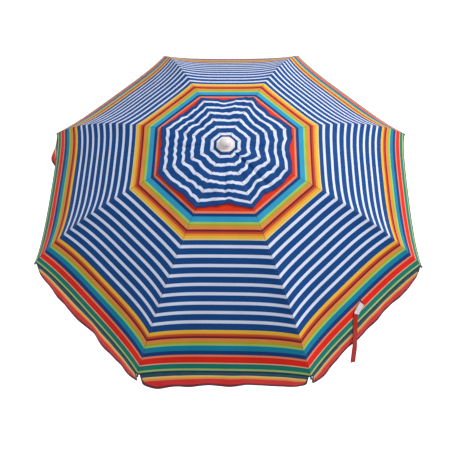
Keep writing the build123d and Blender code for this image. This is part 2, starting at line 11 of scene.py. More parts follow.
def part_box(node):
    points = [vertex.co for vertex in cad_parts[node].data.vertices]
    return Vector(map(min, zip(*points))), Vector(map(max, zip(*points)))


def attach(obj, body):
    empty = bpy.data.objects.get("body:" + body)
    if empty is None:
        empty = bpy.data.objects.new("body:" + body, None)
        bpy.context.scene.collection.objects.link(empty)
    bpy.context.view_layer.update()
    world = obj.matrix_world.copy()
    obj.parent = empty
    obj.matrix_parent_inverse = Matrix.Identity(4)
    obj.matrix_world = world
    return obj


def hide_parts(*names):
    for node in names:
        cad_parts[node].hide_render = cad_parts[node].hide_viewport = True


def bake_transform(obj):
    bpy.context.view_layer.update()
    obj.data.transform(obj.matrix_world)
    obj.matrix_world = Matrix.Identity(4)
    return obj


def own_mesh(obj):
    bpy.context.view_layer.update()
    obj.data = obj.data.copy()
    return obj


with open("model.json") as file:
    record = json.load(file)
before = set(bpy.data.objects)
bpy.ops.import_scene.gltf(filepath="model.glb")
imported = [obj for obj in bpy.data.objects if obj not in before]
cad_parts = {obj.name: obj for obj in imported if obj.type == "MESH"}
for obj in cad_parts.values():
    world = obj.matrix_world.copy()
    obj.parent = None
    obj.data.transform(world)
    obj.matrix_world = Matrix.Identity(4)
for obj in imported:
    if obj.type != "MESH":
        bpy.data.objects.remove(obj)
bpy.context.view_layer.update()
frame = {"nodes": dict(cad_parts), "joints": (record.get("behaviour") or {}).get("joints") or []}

# ---- the canopy's shape, in metres, as the frame has it ----
RIBS = 8
STEP = math.radians(360 / RIBS)
HALF = STEP / 2
COS_HALF = math.cos(HALF)
SIN_HALF = math.sin(HALF)

DOME_RADIUS = 1.135
RIB_BELOW_CLOTH = 0.0045
CLOTH_ARC = 0.9144
VENT_ARC = 0.225
CAP_ARC = 0.266
CAP_LIFT = 0.010
CAP_INNER_ARC = 0.018
CAP_EDGE_TAPE = 0.009
CAP_EDGE_THICK = 0.0016
CAP_HOLE_RADIUS = 0.0055
CAP_MIDDLE_RADIUS = 0.022
VALANCE_DROP = 0.130
VALANCE_FLARE = math.radians(7)
VALANCE_CORNER = 0.060
VALANCE_NOTCH = 0.009
HEM_TAPE = 0.017
SIDE_TAPE_SHARE = 0.3    # the binding is this much of its width up the valance's ends

# The cloth is drawn in between two ribs, along itself and square to itself, from one arc outwards.
DRAWN_START = 0.26
DRAWN_LENGTH = 0.43
DRAWN_ALONG = 0.008
DRAWN_UNDER = 0.0195
DRAWN_POWER = 3.5        # how suddenly the pull starts beside a rib
RIM_DRAWN_LESS = 0.0065
CLOTH_SWAY = 0.0009
CLOTH_THICK = 0.0007
TAPE_THICK = 0.0022
SEAM_DIP = 0.0007
SEAM_REACH = 0.0035
SEAM_RUN_OUT = 0.05      # the seam's dip runs out over this much before the rim

STRAP_PANEL = 7
STRAP_WIDTH = 0.020
STRAP_THICK = 0.0016
STRAP_LIFT = 0.003
STRAP_ARC = 0.854
STRAP_SLOT_SIDE = 0.014
STRAP_BEND_ARC = 0.868
STRAP_BEND_SIDE = -0.030
STRAP_RIM_SIDE = -0.063
STRAP_PAST_RIM = 0.004
STRAP_HANG = 0.280
STRAP_LEAN = math.radians(10.4)
STRAP_SWAY = math.radians(2.4)
STRAP_LOW = 0.45         # the strap bows outwards at this share of what hangs
STRAP_BOW = 0.004
STRAP_ROUNDING = (0.017, 0.009, 0.045)
STRAP_TWISTS = ((-0.15, -1, 0), (-0.6, -1, 0))
PATCH_LENGTH = 0.046
PATCH_WIDTH = 0.023
PATCH_THICK = 0.0012
PATCH_LIFT = 0.0015
SLIT_STEP = 0.0045
SLIT_SIDE = 0.003
SLIT_LIFT = 0.0009
SLIT_WIDTH = 0.0035
SLIT_THICK = 0.001

joint_at = {j["name"]: Vector(j["pos_m"]) for j in frame["joints"] if "pos_m" in j}
rib_pivot = joint_at["rib_1_hinge"]
pivot_radius = math.hypot(rib_pivot.x, rib_pivot.y)
DOME_CENTRE_Z = rib_pivot.z - math.sqrt((DOME_RADIUS - RIB_BELOW_CLOTH) ** 2 - pivot_radius**2)
APEX_Z = DOME_CENTRE_Z + DOME_RADIUS
RIM_RADIUS = DOME_RADIUS * math.sin(CLOTH_ARC / DOME_RADIUS)
RIM_HALF_WIDTH = RIM_RADIUS * SIN_HALF


def half_width(arc):
    """From the middle of a panel to its rib, in a straight line."""
    return DOME_RADIUS * np.sin(arc / DOME_RADIUS) * SIN_HALF


# ---- colours ----
def srgb(red, green, blue):
    """A colour from 0 to 255 as the linear one that a shader takes."""
    parts = [c / 255 for c in (red, green, blue)]
    return tuple(c / 12.92 if c <= 0.04045 else ((c + 0.055) / 1.055) ** 2.4 for c in parts) + (1,)


BLUE = srgb(17, 68, 130)
WHITE = srgb(212, 218, 240)
NAVY = srgb(22, 58, 120)
DARK_TEAL_AND_RIM_SHADOW = srgb(8, 60, 80)
TEAL = srgb(14, 126, 160)
TURQUOISE = srgb(44, 148, 188)
LIME = srgb(150, 192, 92)
OLIVE = srgb(172, 158, 42)
COPPER = srgb(222, 134, 66)
MAROON = srgb(118, 30, 46)
BRICK = srgb(188, 70, 38)
RED = srgb(222, 38, 27)
RED_ORANGE = srgb(222, 54, 28)
CORAL = srgb(226, 130, 88)
ORANGE = srgb(226, 136, 56)
YELLOW = srgb(230, 178, 56)
TAN = srgb(222, 180, 140)
TEAL_GREEN = srgb(22, 120, 106)
LIME_OLIVE = srgb(164, 186, 108)
PALE = srgb(214, 202, 158)
DEEP_RED = srgb(208, 20, 22)
PURPLE = srgb(84, 14, 48)

# Where each band starts, measured over the cloth from the umbrella's axis. The bands are print, except
# that the dark teal band at the rim is partly painted shadow.
BANDS = [
    (0.000, RED_ORANGE), (0.275, CORAL), (0.285, NAVY), (0.298, TURQUOISE), (0.317, LIME),
    (0.3235, OLIVE), (0.3345, COPPER), (0.3445, MAROON), (0.353, BRICK), (0.3605, ORANGE),
    (0.3695, YELLOW), (0.3820, PALE), (0.3858, BLUE),
    (0.741, YELLOW), (0.7525, ORANGE), (0.7575, BRICK), (0.7650, MAROON), (0.7740, COPPER),
    (0.785, OLIVE), (0.795, LIME), (0.8025, TEAL), (0.8225, NAVY), (0.8400, CORAL),
    (0.8455, RED), (0.871, TAN), (0.8765, TEAL_GREEN), (0.8945, LIME_OLIVE),
    # partly painted shadow: the dark teal band starts on the panel just inside the rim and stands in for
    # the rim fold's shadow, then runs on as the valance's printed dark teal
    (CLOTH_ARC - 0.008, DARK_TEAL_AND_RIM_SHADOW), (CLOTH_ARC + 0.028, PALE), (CLOTH_ARC + 0.033, YELLOW),
    (CLOTH_ARC + 0.046, ORANGE), (CLOTH_ARC + 0.062, DEEP_RED),
]
BANDS_END = 1.06
CAP_BANDS = [(0.0, BLUE), (0.256, NAVY)]
CAP_BANDS_END = 0.3

STRIPE_PITCH = 0.0369
STRIPE_WIDTH = 0.0124
PANEL_FIRST_STRIPE = 0.414
PANEL_STRIPES = (0.395, 0.728)
CAP_FIRST_STRIPE = 0.054
CAP_STRIPES = (0.040, 0.255)


# ---- material nodes ----
NOISE_SPREAD = (0.3, 0.7)    # nearly all values of a noise texture lie between these
MIX_INPUTS = (0, 6, 7)       # a Mix node's factor and its two colours, by place
MIX_OUTPUT = 2


class Nodes:
    """Short names for building one material's nodes."""

    def __init__(self, name):
        self.material = bpy.data.materials.new(name)
        self.material.use_nodes = True
        self.tree = self.material.node_tree
        self.shader = self.tree.nodes["Principled BSDF"]

    def add(self, kind, **settings):
        node = self.tree.nodes.new("ShaderNode" + kind)
        for key, value in settings.items():
            setattr(node, key, value)
        return node

    def link(self, source, target):
        self.tree.links.new(source, target)

    def feed(self, socket, value):
        if isinstance(value, bpy.types.NodeSocket):
            self.link(value, socket)
        else:
            socket.default_value = value

    def math(self, operation, first, second=0.0):
        node = self.add("Math", operation=operation)
        self.feed(node.inputs[0], first)
        self.feed(node.inputs[1], second)
        return node.outputs[0]

    def mix(self, share, first, second, blend_type="MIX"):
        node = self.add("Mix", data_type="RGBA", blend_type=blend_type)
        for place, value in zip(MIX_INPUTS, (share, first, second)):
            self.feed(node.inputs[place], value)
        return node.outputs[MIX_OUTPUT]

    def noise(self, vector, scale, detail=3.0):
        node = self.add("TexNoise")
        node.inputs["Scale"].default_value = scale
        node.inputs["Detail"].default_value = detail
        self.link(vector, node.inputs["Vector"])
        return node.outputs["Fac"]

    def patchy(self, vector, scale, low, high):
        """Smooth patches that run from one number to another."""
        return self.remap(self.noise(vector, scale), *NOISE_SPREAD, low, high)

    def remap(self, value, low, high, to_low, to_high):
        node = self.add("MapRange")
        for socket, number in zip(node.inputs, (value, low, high, to_low, to_high)):
            self.feed(socket, number)
        return node.outputs[0]

    def shaded(self, colour, shade):
        """The colour times one grey."""
        grey = self.add("CombineColor")
        for socket in grey.inputs[:3]:
            self.link(shade, socket)
        return self.mix(1.0, colour, grey.outputs[0], "MULTIPLY")

    def bump(self, height, strength, distance, below=None):
        node = self.add("Bump")
        node.inputs["Strength"].default_value = strength
        node.inputs["Distance"].default_value = distance
        self.link(height, node.inputs["Height"])
        if below is not None:
            self.link(below, node.inputs["Normal"])
        return node.outputs["Normal"]

    def set(self, **values):
        for name, value in values.items():
            self.feed(self.shader.inputs[name.replace("_", " ")], value)


def cloth_position(nodes):
    """Distance from the rib's seam and distance over the cloth, both in metres."""
    uv = nodes.add("UVMap", uv_map="Cloth").outputs["UV"]
    split = nodes.add("SeparateXYZ")
    nodes.link(uv, split.inputs[0])
    return uv, split.outputs["X"], split.outputs["Y"]


def band_colour(nodes, over, bands, end):
    """The colour of the printed band at a distance over the cloth, by a ramp with its own end."""
    ramp = nodes.add("ValToRGB")
    ramp.color_ramp.interpolation = "CONSTANT"
    stops = ramp.color_ramp.elements
    stops.remove(stops[1])
    stops[0].position = 0.0
    stops[0].color = bands[0][1]
    for start, tint in bands[1:]:
        stops.new(start / end).color = tint
    nodes.link(nodes.math("DIVIDE", over, end), ramp.inputs[0])
    return ramp.outputs["Color"]


def white_stripes(nodes, over, first, limits):
    """1 on the white stripes, which repeat between two limits."""
    away = nodes.math("PINGPONG", nodes.math("SUBTRACT", over, first), STRIPE_PITCH / 2)
    inside = nodes.math("LESS_THAN", away, STRIPE_WIDTH / 2)
    after = nodes.math("GREATER_THAN", over, limits[0])
    before = nodes.math("LESS_THAN", over, limits[1])
    return nodes.math("MULTIPLY", inside, nodes.math("MULTIPLY", after, before))


THREAD_PITCH = 0.0009
WAVE_TEXTURE_RATE = 20       # a wave texture of scale 1 has this many radians to the unit
STITCH_PITCH = 0.0034
STITCH_LENGTH = 0.0024
STITCH_HALF_WIDTH = 0.0005
STITCH_SHOWS = 0.12
THREAD_TINT = srgb(210, 208, 214)
SEAM_SHADE = 0.66            # painted shade: the crease shadow darkens the cloth to this much at the seam itself
SEAM_SHADE_REACH = 0.0035
PRINT_SHOWS_THROUGH = 0.72   # the print is this strong on the inside
UNPRINTED = srgb(196, 200, 208)


def any_of(nodes, masks):
    """The largest of several masks or heights."""
    total = masks[0]
    for mask in masks[1:]:
        total = nodes.math("MAXIMUM", total, mask)
    return total


def weave_height(nodes, uv):
    """Two crossed sets of threads."""
    threads = []
    for direction in ("X", "Y"):
        wave = nodes.add("TexWave", wave_type="BANDS", bands_direction=direction)
        wave.inputs["Scale"].default_value = math.tau / THREAD_PITCH / WAVE_TEXTURE_RATE
        wave.inputs["Distortion"].default_value = 0.4
        nodes.link(uv, wave.inputs["Vector"])
        threads.append(wave.outputs["Fac"])
    return any_of(nodes, threads)


def stitch_row(nodes, across, along, at):
    """1 on the thread of a row of stitches that lies at one distance across."""
    away = nodes.math("ABSOLUTE", nodes.math("SUBTRACT", across, at))
    on_row = nodes.math("LESS_THAN", away, STITCH_HALF_WIDTH)
    phase = nodes.math("MODULO", along, STITCH_PITCH)
    return nodes.math("MULTIPLY", on_row, nodes.math("LESS_THAN", phase, STITCH_LENGTH))


def printed_cloth(name, bands, end, first_stripe, limits, seam_rows, hem_rows, inside=False):
    """Woven polyester with printed stripes, stitched along its seams and hems, with painted shade
    darkening it towards each seam.
    """
    nodes = Nodes(name)
    uv, from_seam, over = cloth_position(nodes)
    colour = band_colour(nodes, over, bands, end)
    colour = nodes.mix(white_stripes(nodes, over, first_stripe, limits), colour, WHITE)
    faded = nodes.patchy(uv, 9.0, 0.93, 1.05)
    # painted shade: the colour darkens towards each seam, standing in for the shadow in the seam's
    # crease
    painted_seam_shade = nodes.remap(from_seam, 0.0, SEAM_SHADE_REACH, SEAM_SHADE, 1.0)
    colour = nodes.shaded(colour, nodes.math("MULTIPLY", faded, painted_seam_shade))
    rows = [stitch_row(nodes, from_seam, over, at) for at in seam_rows]
    rows += [stitch_row(nodes, over, from_seam, at) for at in hem_rows]
    stitches = any_of(nodes, rows)
    colour = nodes.mix(nodes.math("MULTIPLY", stitches, STITCH_SHOWS), colour, THREAD_TINT)
    if inside:
        colour = nodes.mix(1 - PRINT_SHOWS_THROUGH, colour, UNPRINTED)
    weave = nodes.bump(weave_height(nodes, uv), strength=0.25, distance=0.0002)
    puckers = nodes.bump(nodes.noise(uv, 55.0, 2.0), strength=0.18, distance=0.0012, below=weave)
    normal = nodes.bump(stitches, strength=0.5, distance=0.0005, below=puckers)
    nodes.set(Base_Color=colour, Roughness=nodes.patchy(uv, 30.0, 0.62, 0.78), Normal=normal)
    nodes.set(Specular_IOR_Level=0.1)
    nodes.set(Sheen_Weight=0.05, Sheen_Roughness=0.35, Sheen_Tint=(0.9, 1.0, 0.84, 1))
    return nodes.material


EDGE_ROW = 0.0025    # from a strap's edge to the row of stitches along it


def tape_cloth(name, tint, cord_pitch=0.0016):
    """Narrow ribbed tape or webbing: its ribs cross its length, and painted shade darkens the grooves
    between them.
    """
    nodes = Nodes(name)
    uv, across, along = cloth_position(nodes)
    ribs = nodes.math("SINE", nodes.math("MULTIPLY", along, math.tau / cord_pitch))
    # painted shade: the colour darkens in the grooves between the ribs and lightens on their crests
    rib_groove_shade = nodes.remap(ribs, -1.0, 1.0, 0.82, 1.04)
    faded = nodes.patchy(uv, 60.0, 0.92, 1.06)
    colour = nodes.shaded(tint, nodes.math("MULTIPLY", rib_groove_shade, faded))
    rows = [stitch_row(nodes, across, along, at) for at in (EDGE_ROW, STRAP_WIDTH - EDGE_ROW)]
    raised = nodes.math("ADD", ribs, any_of(nodes, rows))
    normal = nodes.bump(raised, strength=0.45, distance=0.0003)
    roughness = nodes.remap(faded, 0.9, 1.1, 0.6, 0.75)
    nodes.set(Base_Color=colour, Roughness=roughness, Normal=normal, Specular_IOR_Level=0.15)
    return nodes.material


def hard_surface(
    name, tint, rough, metal=0.0, coat=0.0, grain=400.0, depth=0.00005, streaks=(1, 1, 1),
):
    """Plastic, paint or metal, with fine grain and uneven gloss."""
    nodes = Nodes(name)
    place = nodes.add("TexCoord").outputs["Object"]
    stretch = nodes.add("Mapping")
    stretch.inputs["Scale"].default_value = streaks
    nodes.link(place, stretch.inputs["Vector"])
    fine = nodes.noise(stretch.outputs[0], grain, 4.0)
    broad = nodes.noise(place, 14.0, 4.0)
    worn = nodes.remap(broad, 0.35, 0.75, 1.0, 0.9)
    colour = nodes.shaded(tint, worn)
    in_grain = nodes.remap(fine, *NOISE_SPREAD, -0.05, 0.06)
    in_patches = nodes.remap(broad, *NOISE_SPREAD, rough - 0.04, rough + 0.07)
    roughness = nodes.math("ADD", in_grain, in_patches)
    nodes.set(Base_Color=colour, Roughness=roughness, Normal=nodes.bump(fine, 0.35, depth))
    nodes.set(Metallic=metal, Coat_Weight=coat, Coat_Roughness=0.15)
    return nodes.material


# Rows of stitches: from a seam, and over the cloth from the umbrella's axis.
SEAM_ROW = 0.0042
SEAM_ROW_INSIDE = 0.0085
HEM_ROW = CLOTH_ARC - 0.006
CAP_SEAM_ROW = 0.003
CAP_HEM_ROW = CAP_ARC - CAP_EDGE_TAPE + 0.0015

panel_outside = printed_cloth(
    "canopy cloth", BANDS, BANDS_END, PANEL_FIRST_STRIPE, PANEL_STRIPES,
    seam_rows=(SEAM_ROW,), hem_rows=(HEM_ROW,),
)
panel_inside = printed_cloth(
    "canopy cloth inside", BANDS, BANDS_END, PANEL_FIRST_STRIPE, PANEL_STRIPES,
    seam_rows=(SEAM_ROW, SEAM_ROW_INSIDE), hem_rows=(HEM_ROW,), inside=True,
)
cap_outside = printed_cloth(
    "vent cloth", CAP_BANDS, CAP_BANDS_END, CAP_FIRST_STRIPE, CAP_STRIPES,
    seam_rows=(CAP_SEAM_ROW,), hem_rows=(CAP_HEM_ROW,),
)
cap_inside = printed_cloth(
    "vent cloth inside", CAP_BANDS, CAP_BANDS_END, CAP_FIRST_STRIPE, CAP_STRIPES,
    seam_rows=(CAP_SEAM_ROW,), hem_rows=(CAP_HEM_ROW,), inside=True,
)
hem_tape = tape_cloth("hem tape", PURPLE, 0.0009)
red_webbing = tape_cloth("red webbing", srgb(190, 30, 24))
slot_shadow_strip = tape_cloth("painted slot shadow", srgb(30, 26, 34), 0.0008)
# painted shadow: a near-black tape that stands in for the shade inside the strap's slot
white_tape = tape_cloth("white tape", srgb(226, 220, 224), 0.0007)
white_plastic = hard_surface("white plastic", srgb(232, 222, 222), 0.42, coat=0.15)
grey_plastic = hard_surface("grey plastic", srgb(72, 76, 80), 0.55, depth=0.0001)
green_plastic = hard_surface("green plastic", srgb(8, 84, 80), 0.38, coat=0.1)
pole_paint = hard_surface("white paint", srgb(226, 228, 230), 0.3, coat=0.4, grain=900.0)
tilt_metal = hard_surface("cast white metal", srgb(214, 216, 218), 0.4, coat=0.3, grain=600.0)
rib_steel = hard_surface("lacquered steel", srgb(214, 216, 220), 0.34, coat=0.3, grain=700.0)
pin_steel = hard_surface("zinc steel", srgb(176, 178, 184), 0.34, metal=1.0, streaks=(1, 1, 8))
spring_steel = hard_surface("spring wire", srgb(168, 170, 176), 0.28, metal=1.0, streaks=(6, 6, 1))


# ---- cloth meshes ----
SHARP_ANGLE = math.radians(50)


def rotated(points, angle):
    """The points turned about the umbrella's axis."""
    c, s = math.cos(angle), math.sin(angle)
    turn = np.array([[c, s, 0], [-s, c, 0], [0, 0, 1]])
    return points @ turn


def shell(name, middle, uv, thickness, materials):
    """A closed thin shell round a grid of points, whose rows run outwards or down and columns to +Y."""
    rows, cols = middle.shape[:2]
    normal = np.cross(np.gradient(middle, axis=0), np.gradient(middle, axis=1))
    normal /= np.linalg.norm(normal, axis=2, keepdims=True)
    outer = (middle + normal * thickness / 2).reshape(-1, 3)
    inner = (middle - normal * thickness / 2).reshape(-1, 3)
    at = np.arange(rows * cols).reshape(rows, cols)
    quads = np.stack([at[:-1, :-1], at[1:, :-1], at[1:, 1:], at[:-1, 1:]], axis=-1).reshape(-1, 4)
    loop = np.concatenate([at[0, :-1], at[:-1, -1], at[-1, :0:-1], at[:0:-1, 0]])
    after = np.roll(loop, -1)
    below = rows * cols
    rim = np.stack([loop, after, after + below, loop + below], axis=-1)
    faces = np.concatenate([quads, quads[:, ::-1] + below, rim])
    mesh = bpy.data.meshes.new(name)
    mesh.from_pydata(np.concatenate([outer, inner]).tolist(), [], faces.tolist())
    for material in materials:
        mesh.materials.append(material)
    inside_slot = len(materials) - 1
    slots = np.concatenate([np.zeros(len(quads)), np.full(len(quads), inside_slot), np.zeros(len(rim))])
    mesh.polygons.foreach_set("material_index", slots.astype(np.int32))
    layer = mesh.uv_layers.new(name="Cloth")
    corner = np.zeros(len(mesh.loops), np.int32)
    mesh.loops.foreach_get("vertex_index", corner)
    flat = uv.reshape(-1, 2)[corner % below]
    layer.data.foreach_set("uv", flat.astype(np.float32).ravel())
    mesh.shade_smooth()
    mesh.set_sharp_from_angle(angle=SHARP_ANGLE)
    mesh.validate()
    piece = bpy.data.objects.new(name, mesh)
    bpy.context.scene.collection.objects.link(piece)
    return piece


def set_points(piece, points):
    piece.data.vertices.foreach_set("co", np.asarray(points, np.float32).ravel())
    piece.data.update()


def fold_with(piece, share):
    """For a moment each point's X becomes its share of the way from the rib to its panel's middle; the
    piece's transform is applied to its mesh, and the shaped points are put back."""
    shaped = np.array([v.co for v in piece.data.vertices])
    shares = np.tile(np.asarray(share, float).ravel(), 2)
    set_points(piece, np.stack([shares, shares * 0, shares * 0], axis=1))
    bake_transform(piece)
    set_points(piece, shaped)


def wander(*place):
    """Smooth noise from about -1 to 1 at a place of three numbers. A distance is multiplied by a rate
    before it comes here: the larger the rate, the shorter the waves."""
    return noise.noise(Vector(place))


wander_all = np.vectorize(wander)


def ramp(share):
    """From 0 to 1 with soft ends."""
    share = np.clip(share, 0, 1)
    return share * share * (3 - 2 * share)


def bell(distance, width):
    """1 at no distance, and a third at one width."""
    return np.exp(-((distance / width) ** 2))


def panel_surface(arc, side, n, lift=0.0):
    """The middle of panel n's cloth: arc over the dome, side from -1 at one rib to 1 at the next."""
    between = 1 - np.abs(side) ** DRAWN_POWER
    drawn = ramp((arc - DRAWN_START) / DRAWN_LENGTH) * between
    slope = (arc - DRAWN_ALONG * drawn) / DOME_RADIUS
    drawn_end = DRAWN_START + DRAWN_LENGTH
    less = RIM_DRAWN_LESS * ramp((arc - drawn_end) / (CLOTH_ARC - drawn_end))
    under = (DRAWN_UNDER - less) * drawn
    y = half_width(arc) * side
    sway = CLOTH_SWAY * between * wander_all(arc * 7, y * 5, n * 3.7)
    run_out = np.clip((CLOTH_ARC - arc) / SEAM_RUN_OUT, 0, 1)
    seam = SEAM_DIP * bell(half_width(arc) * (1 - np.abs(side)), SEAM_REACH) * run_out
    out = lift + sway - seam - under
    steep = np.hypot(np.sin(slope), COS_HALF * np.cos(slope))
    x = DOME_RADIUS * np.sin(slope) * COS_HALF + out * np.sin(slope) / steep
    z = DOME_CENTRE_Z + DOME_RADIUS * np.cos(slope) + out * COS_HALF * np.cos(slope) / steep
    return np.stack([x, y, z], axis=-1)


# The columns of a half panel stand closer together beside the rib, for the seam's dip.
SHARES = np.concatenate([[0, 0.005, 0.01, 0.018, 0.03, 0.05, 0.08], np.linspace(0.12, 1, 17)])
PANEL_ROWS = 58
SIDES = {"left": -1, "right": 1}


def columns(hand):
    """Side from -1 to 1 and share from the rib to the middle, for the columns of a half panel."""
    side = SIDES[hand] * (1 - SHARES)
    return (side, SHARES) if hand == "left" else (side[::-1], SHARES[::-1])


def half_names(n, hand):
    rib = n if hand == "left" else n % RIBS + 1
    return f"rib_{rib}", f"panel_{n}_{hand}"


def panel_half(n, hand):
    side, share = columns(hand)
    arcs = np.linspace(VENT_ARC, CLOTH_ARC, PANEL_ROWS)
    arc, s = np.meshgrid(arcs, side, indexing="ij")
    middle = rotated(panel_surface(arc, s, n), n * STEP)
    uv = np.stack([half_width(arc) * (1 - np.abs(s)), arc], axis=-1)
    rib, half = half_names(n, hand)
    cloths = [panel_outside, panel_inside]
    piece = shell(f"panel_cloth_{n}_{hand}", middle, uv, CLOTH_THICK, cloths)
    fold_with(piece, np.tile(share, len(arcs)))
    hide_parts(half)


# By panel: how far a valance's end beside a rib curls out, its middle billows out, and a side leans out.
CURLED_ENDS = {(4, -1): 0.044}
CURL_FROM_RIB = 0.05
CURL_REACH = 0.06
BILLOWS = {5: 0.014, 7: 0.007}
LEANS = {6: -0.011}

RIPPLE = 0.0016
RIPPLE_LENGTH = 0.031
RIPPLE_BEND = 1.4
RIPPLE_BEND_LENGTH = 0.09
SHORT_WAVE = 0.0026
MIDDLE_WAVE = 0.007
LONG_WAVE = 0.006


def flap_surface(y, drop, n):
    """The middle of a valance's cloth, at a distance y from its panel's middle and down from the rim."""
    side = y / RIM_HALF_WIDTH
    top = panel_surface(np.full_like(y, CLOTH_ARC), np.clip(side, -1, 1), n)
    loose = drop / VALANCE_DROP
    bend = RIPPLE_BEND * np.sin(y / RIPPLE_BEND_LENGTH + n)
    waves = RIPPLE * np.sin(y / RIPPLE_LENGTH + n * 2.3 + bend)
    waves += SHORT_WAVE * wander_all(y * 22, drop * 9, n * 1.7)
    waves += LONG_WAVE * wander_all(y * 5, drop * 4, n * 5.1 + 2)
    waves += MIDDLE_WAVE * wander_all(y * 13, drop * 3, n * 2.9)
    curl = BILLOWS.get(n, 0.0) * (1 - side**2) + LEANS.get(n, 0.0) * side
    for (panel, hand), distance in CURLED_ENDS.items():
        if panel == n:
            curl += distance * bell(np.abs(y - hand * RIM_HALF_WIDTH) - CURL_FROM_RIB, CURL_REACH)
    x = top[..., 0] + drop * math.sin(VALANCE_FLARE) + loose * (waves + curl)
    z = top[..., 2] - drop * math.cos(VALANCE_FLARE)
    return np.stack([x, y, z], axis=-1)


FLAP_END = RIM_HALF_WIDTH - VALANCE_NOTCH
FLAP_STRAIGHT = VALANCE_DROP - VALANCE_CORNER
FLAP_ROWS = 14
HEM_TOP = 0.002          # the bound edge starts this far under the rim
HEM_WIDENS = 0.04        # and widens from here down
HEM_PROUD = 0.0012       # and reaches this far past the cloth's edge


def flap_depth(y):
    """How far the valance hangs at a distance from its middle: its lower corners are round."""
    into_corner = np.clip(VALANCE_CORNER - (FLAP_END - np.abs(y)), 0, VALANCE_CORNER)
    return FLAP_STRAIGHT + np.sqrt(VALANCE_CORNER**2 - into_corner**2)


def flap_half(n, hand):
    straight = np.linspace(0, FLAP_END - VALANCE_CORNER, 40)[:-1]
    turn = np.linspace(0, math.pi / 2, 14)
    reach = np.concatenate([straight, FLAP_END - VALANCE_CORNER * (1 - np.sin(turn))])
    y_line = reach if hand == "right" else -reach[::-1]
    share_down, y = np.meshgrid(np.linspace(0, 1, FLAP_ROWS), y_line, indexing="ij")
    drop = share_down * flap_depth(y)
    uv = np.stack([RIM_HALF_WIDTH - np.abs(y), CLOTH_ARC + drop], axis=-1)
    middle = rotated(flap_surface(y, drop, n), n * STEP)
    piece = shell(f"valance_{n}_{hand}", middle, uv, CLOTH_THICK, [panel_outside, panel_inside])
    fold_with(piece, 1 - np.abs(y) / RIM_HALF_WIDTH)
    hem = flap_hem(n, hand)


def flap_hem(n, hand):
    """The valance's bound edge, from its top at the rib, round its corner, to the panel's middle."""
    turn = np.linspace(0, math.pi / 2, 12)
    down = np.linspace(HEM_TOP, FLAP_STRAIGHT, 8)[:-1]
    corner_y = FLAP_END - VALANCE_CORNER * (1 - np.cos(turn))
    corner_d = FLAP_STRAIGHT + VALANCE_CORNER * np.sin(turn)
    flat = np.linspace(FLAP_END - VALANCE_CORNER, 0, 38)[1:]
    y_edge = np.concatenate([np.full_like(down, FLAP_END), corner_y, flat])
    d_edge = np.concatenate([down, corner_d, np.full_like(flat, VALANCE_DROP)])
    in_y = np.concatenate([np.full_like(down, -1), -np.cos(turn), np.zeros_like(flat)])
    in_d = np.concatenate([np.zeros_like(down), -np.sin(turn), np.full_like(flat, -1)])
    steps = np.array([HEM_TAPE, HEM_TAPE / 2, 0.0, -HEM_PROUD])
    widens = ramp((d_edge - HEM_WIDENS) / (VALANCE_DROP - HEM_WIDENS))
    full = SIDE_TAPE_SHARE + (1 - SIDE_TAPE_SHARE) * widens
    y = y_edge + np.outer(steps, in_y * full)
    drop = d_edge + np.outer(steps, in_d * full)
    along = np.concatenate([[0], np.cumsum(np.hypot(np.diff(y_edge), np.diff(d_edge)))])
    across, length = np.meshgrid(HEM_TAPE - steps, along, indexing="ij")
    if hand == "right":
        y, drop, across, length = (grid[:, ::-1] for grid in (y, drop, across, length))
    else:
        y = -y
    drop = np.maximum(drop, 0.0)
    middle = rotated(flap_surface(y, drop, n), n * STEP)
    uv = np.stack([across, length], axis=-1)
    hem = shell(f"valance_hem_{n}_{hand}", middle, uv, TAPE_THICK, [hem_tape])
    fold_with(hem, np.clip(1 - np.abs(y) / RIM_HALF_WIDTH, 0, 1))
    return hem


# How far the vent cap's edge is drawn in at the middle of each panel, from panel 1 on.
CAP_SLACK = (0.012, 0.008, 0.013, 0.008, 0.005, 0.012, 0.005, 0.008)
CAP_SAG = 0.006        # the cap's front edge hangs this much lower
CAP_SPREAD = 0.001     # and spreads this much further out
CAP_OVER_CLOTH = 0.0028
CAP_CALM_ARC = 0.035   # inside this arc the cap lies smooth
CAP_GROW_LENGTH = 0.14
CAP_CREASE = 0.0035    # a crease along the middle of each panel
CAP_CREASE_WIDTH = 0.1
CAP_WAVE = 0.012       # waves and ridges move the cloth in and out
CAP_RIDGE = 0.011
CAP_SWELL = 0.007      # swells and crimps move it up and down
CAP_CRIMP = 0.005
CAP_ROWS = 34
CAP_COLUMNS = 19
CAP_TAPE_MIDDLE = 0.005

FOLD_ANGLE = math.radians(-42)   # one deep fold runs this way from the finial
FOLD_WIDTH = 0.10
FOLD_FLANK = 0.05
FOLD_ARC = 0.11
FOLD_LENGTH = 0.06
FOLD_SHIFT = 0.011
FOLD_LIFT = 0.005


def cap_noise(angle, arc, around, outwards, start):
    """Smooth noise over the cap: larger rates around it and outwards make shorter waves."""
    return wander_all(around * np.cos(angle), around * np.sin(angle), outwards * arc + start)


